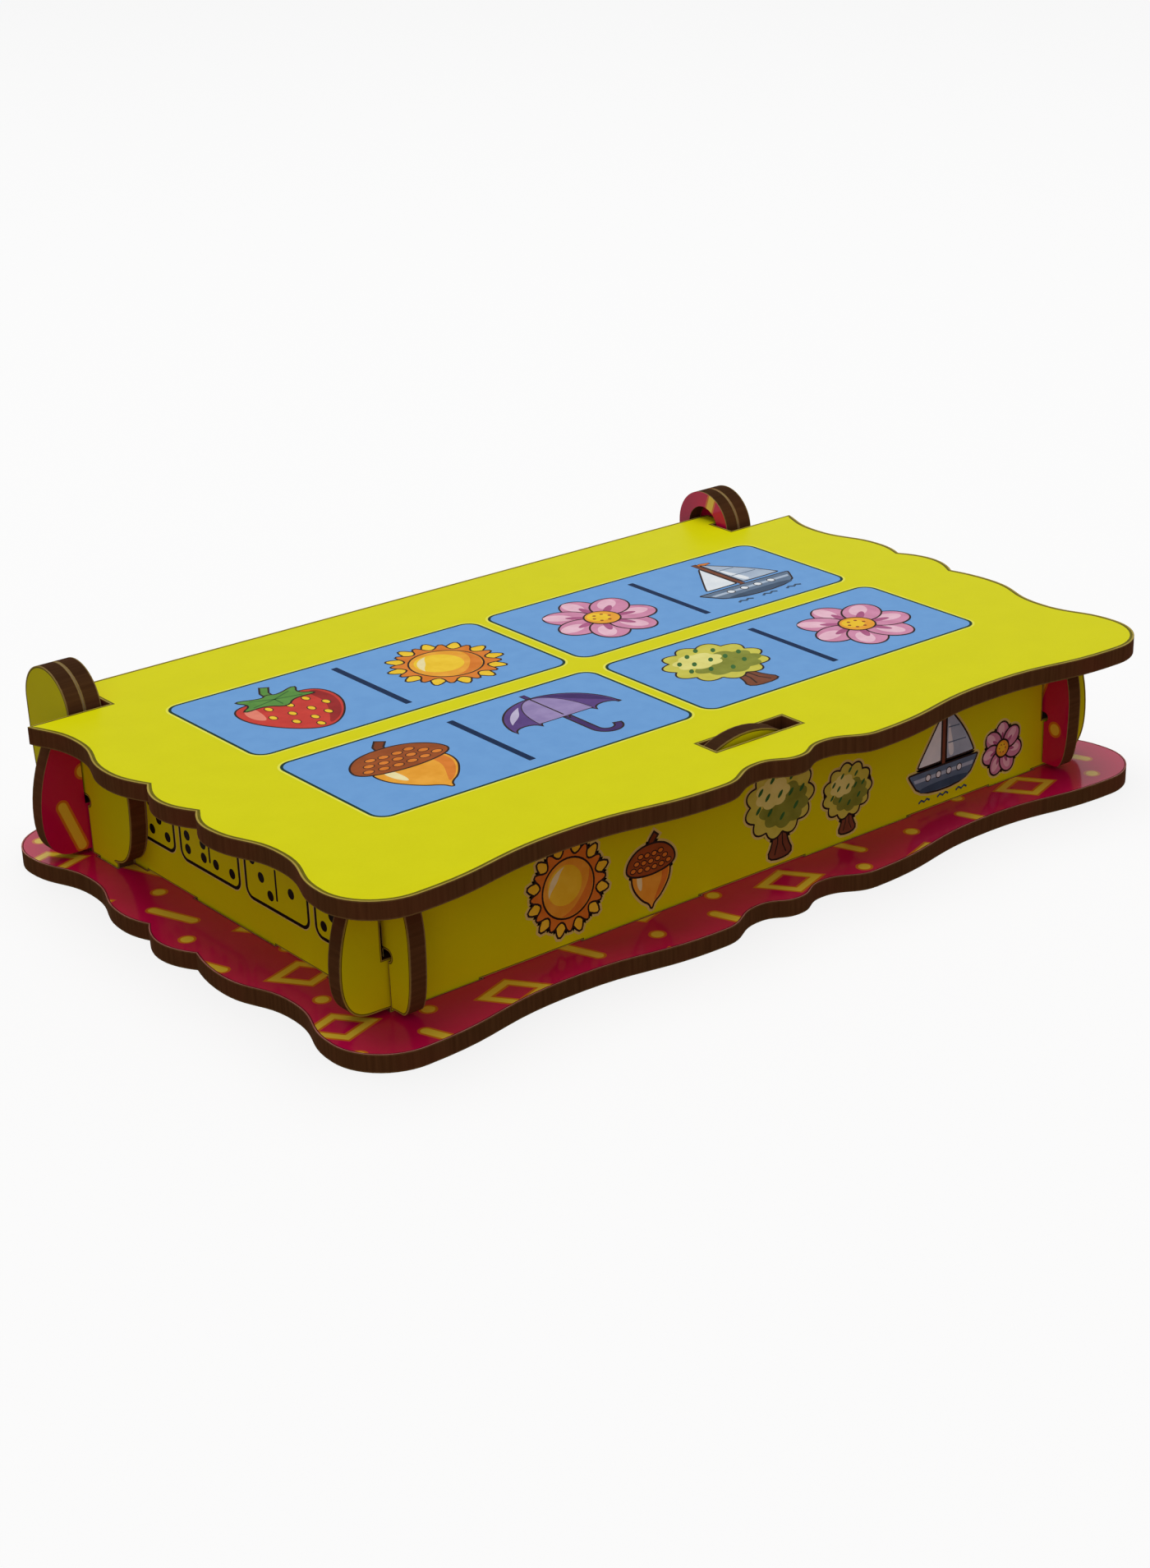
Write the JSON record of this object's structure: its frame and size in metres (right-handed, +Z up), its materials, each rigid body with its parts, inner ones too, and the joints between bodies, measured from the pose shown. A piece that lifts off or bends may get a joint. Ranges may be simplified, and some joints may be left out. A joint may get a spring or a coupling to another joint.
{
  "type": "picture domino set",
  "caption": "Flat hinged game box of laser-cut printed board with a scalloped base and lid, holding a stacked set of picture domino tiles.",
  "frame": {"origin": "middle of the base plate's outline, on its underside", "axes": "+X along the front to the right, +Y from the front to the hinge, +Z up"},
  "size_m": [0.17, 0.1104, 0.0329],
  "materials": {
    "yellow_board": "3 mm MDF printed yellow with blue picture panels, burnt brown laser-cut edges",
    "red_board": "3 mm MDF printed deep red with small yellow shapes, burnt brown laser-cut edges",
    "tile_board": "3 mm MDF printed light blue with a picture on each half, burnt brown edges"
  },
  "bodies": {
    "box": {"base_plate": "red_board", "front_wall": "yellow_board", "back_wall": "yellow_board", "left_side_wall": "yellow_board", "right_side_wall": "yellow_board", "left_hinge_cover": "yellow_board", "right_hinge_cover": "yellow_board", "domino_0_0": "tile_board", "domino_0_1": "tile_board", "domino_0_2": "tile_board", "domino_0_3": "tile_board", "domino_0_4": "tile_board", "domino_0_5": "tile_board", "domino_0_6": "tile_board", "domino_1_1": "tile_board", "domino_1_2": "tile_board", "domino_1_3": "tile_board", "domino_1_4": "tile_board", "domino_1_5": "tile_board", "domino_1_6": "tile_board", "domino_2_2": "tile_board", "domino_2_3": "tile_board", "domino_2_4": "tile_board", "domino_2_5": "tile_board", "domino_2_6": "tile_board", "domino_3_3": "tile_board", "domino_3_4": "tile_board", "domino_3_5": "tile_board", "domino_3_6": "tile_board", "domino_4_4": "tile_board", "domino_4_5": "tile_board", "domino_4_6": "tile_board", "domino_5_5": "tile_board", "domino_5_6": "tile_board", "domino_6_6": "tile_board"},
    "lid": {"lid_panel": "yellow_board"}
  },
  "joints": [
    {"name": "lid_hinge", "type": "hinge", "parent": "box", "child": "lid", "pos_m": [0, 0.049, 0.0258], "axis": [-1, 0, 0], "range_deg": [0, 190]}
  ]
}
